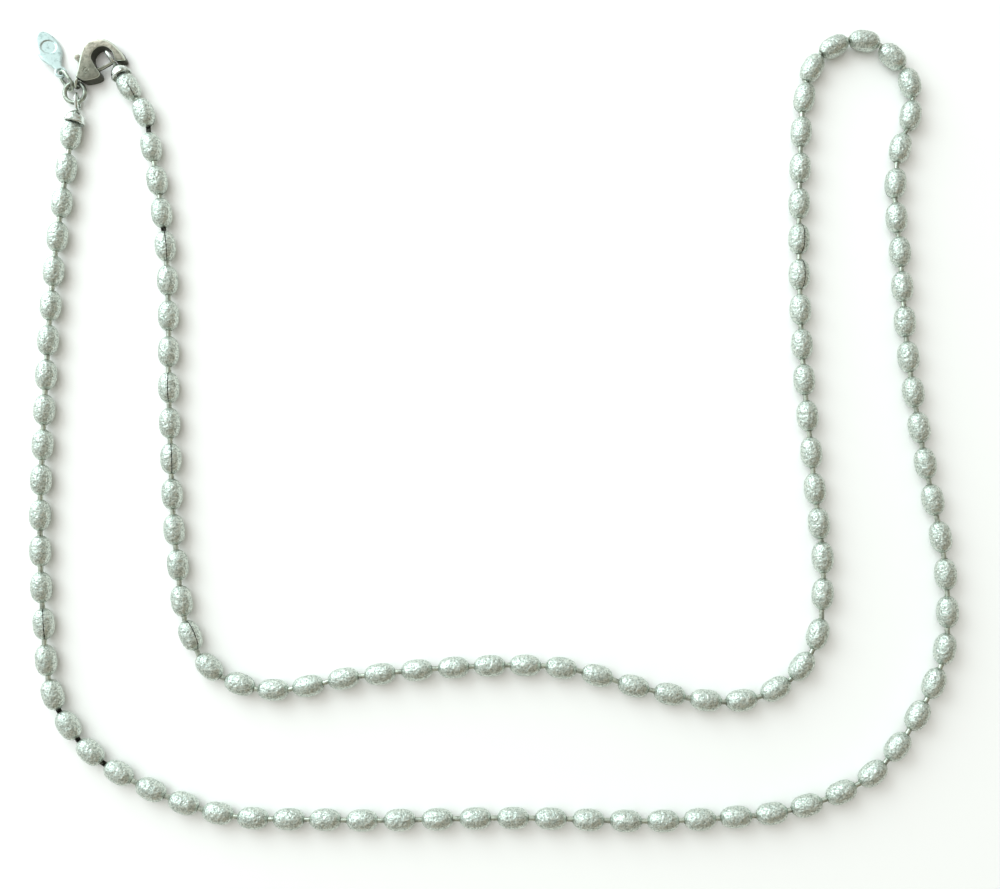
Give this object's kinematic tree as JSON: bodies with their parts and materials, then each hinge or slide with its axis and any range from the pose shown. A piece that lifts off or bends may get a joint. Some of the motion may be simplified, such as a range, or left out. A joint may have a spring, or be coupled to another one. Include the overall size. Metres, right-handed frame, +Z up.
{
  "type": "beaded necklace",
  "caption": "Long necklace of oval silver beads on short rods, laid flat in a doubled loop and fastened by a lobster clasp, with a jump ring and a small hanging tag.",
  "frame": {"origin": "on the floor plane, under the middle of the whole necklace's bounding box", "axes": "+Z up from the floor the necklace lies on, +X along the longer side of the loop, +Y towards the clasp and the hairpin turn"},
  "size_m": [0.1672, 0.1458, 0.0039],
  "materials": {
    "frosted_silver": "silver with a fine hammered, frosted surface, slightly tarnished in its hollows",
    "polished_silver": "polished silver",
    "worn_silver": "cast silver, worn bright on its edges and darker in its recesses"
  },
  "bodies": {
    "necklace": {"outer_strand": "frosted_silver", "inner_strand": "frosted_silver", "left_end_cap": "polished_silver", "right_end_cap": "polished_silver", "clasp_claw": "worn_silver", "clasp_rivet": "worn_silver", "jump_ring": "polished_silver", "tag_link": "polished_silver", "tag": "polished_silver"},
    "lever": {"clasp_lever": "worn_silver"}
  },
  "joints": [
    {"name": "clasp_lever_hinge", "type": "hinge", "parent": "necklace", "child": "lever", "pos_m": [-0.0733, 0.0645, 0.0013], "axis": [0, 0, 1], "range_deg": [0, 11], "stiffness_Nm_per_rad": 0.0002, "springref_deg": -34.38}
  ]
}
